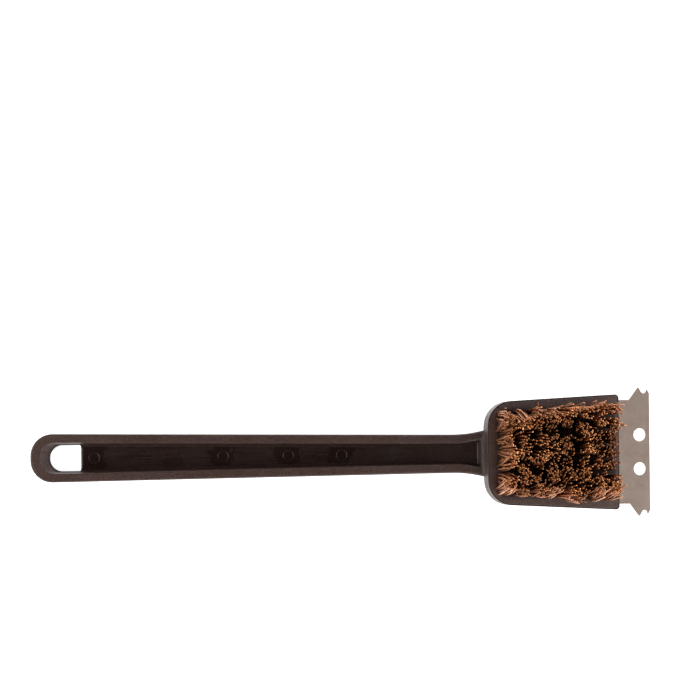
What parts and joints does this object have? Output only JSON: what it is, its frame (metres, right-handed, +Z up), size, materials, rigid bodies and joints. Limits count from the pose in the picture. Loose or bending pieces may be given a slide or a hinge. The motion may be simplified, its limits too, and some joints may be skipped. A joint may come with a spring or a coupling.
{
  "type": "grill cleaning brush",
  "caption": "Long-handled grill cleaning brush with wire tufts in an angled plastic head, a notched metal scraper at its tip and a hanging hole in the handle.",
  "frame": {"origin": "on the table under the middle of the whole length, the brush lying on its back", "axes": "+X from the handle towards the scraper, +Y across the brush, +Z up, out of the bristle side"},
  "size_m": [0.3556, 0.074, 0.0421],
  "materials": {
    "plastic": "satin moulded",
    "blade_steel": "satin rolled",
    "anchor_steel": "plain",
    "bristle_wire": "drawn wire, darkened"
  },
  "bodies": {
    "root": {"handle_body": "plastic", "scraper_blade": "blade_steel", "tuft_anchors": "anchor_steel", "tuft_c1_r1": "bristle_wire", "tuft_c1_r2": "bristle_wire", "tuft_c1_r3": "bristle_wire", "tuft_c1_r4": "bristle_wire", "tuft_c1_r5": "bristle_wire", "tuft_c1_r6": "bristle_wire", "tuft_c1_r7": "bristle_wire", "tuft_c2_r1": "bristle_wire", "tuft_c2_r2": "bristle_wire", "tuft_c2_r3": "bristle_wire", "tuft_c2_r4": "bristle_wire", "tuft_c2_r5": "bristle_wire", "tuft_c2_r6": "bristle_wire", "tuft_c2_r7": "bristle_wire", "tuft_c3_r1": "bristle_wire", "tuft_c3_r2": "bristle_wire", "tuft_c3_r3": "bristle_wire", "tuft_c3_r4": "bristle_wire", "tuft_c3_r5": "bristle_wire", "tuft_c3_r6": "bristle_wire", "tuft_c3_r7": "bristle_wire", "tuft_c4_r1": "bristle_wire", "tuft_c4_r2": "bristle_wire", "tuft_c4_r3": "bristle_wire", "tuft_c4_r4": "bristle_wire", "tuft_c4_r5": "bristle_wire", "tuft_c4_r6": "bristle_wire", "tuft_c4_r7": "bristle_wire", "tuft_c5_r1": "bristle_wire", "tuft_c5_r2": "bristle_wire", "tuft_c5_r3": "bristle_wire", "tuft_c5_r4": "bristle_wire", "tuft_c5_r5": "bristle_wire", "tuft_c5_r6": "bristle_wire", "tuft_c5_r7": "bristle_wire", "tuft_c6_r1": "bristle_wire", "tuft_c6_r2": "bristle_wire", "tuft_c6_r3": "bristle_wire", "tuft_c6_r4": "bristle_wire", "tuft_c6_r5": "bristle_wire", "tuft_c6_r6": "bristle_wire", "tuft_c6_r7": "bristle_wire", "tuft_c7_r1": "bristle_wire", "tuft_c7_r2": "bristle_wire", "tuft_c7_r3": "bristle_wire", "tuft_c7_r4": "bristle_wire", "tuft_c7_r5": "bristle_wire", "tuft_c7_r6": "bristle_wire", "tuft_c7_r7": "bristle_wire", "tuft_c8_r1": "bristle_wire", "tuft_c8_r2": "bristle_wire", "tuft_c8_r3": "bristle_wire", "tuft_c8_r4": "bristle_wire", "tuft_c8_r5": "bristle_wire", "tuft_c8_r6": "bristle_wire", "tuft_c8_r7": "bristle_wire"}
  },
  "joints": []
}
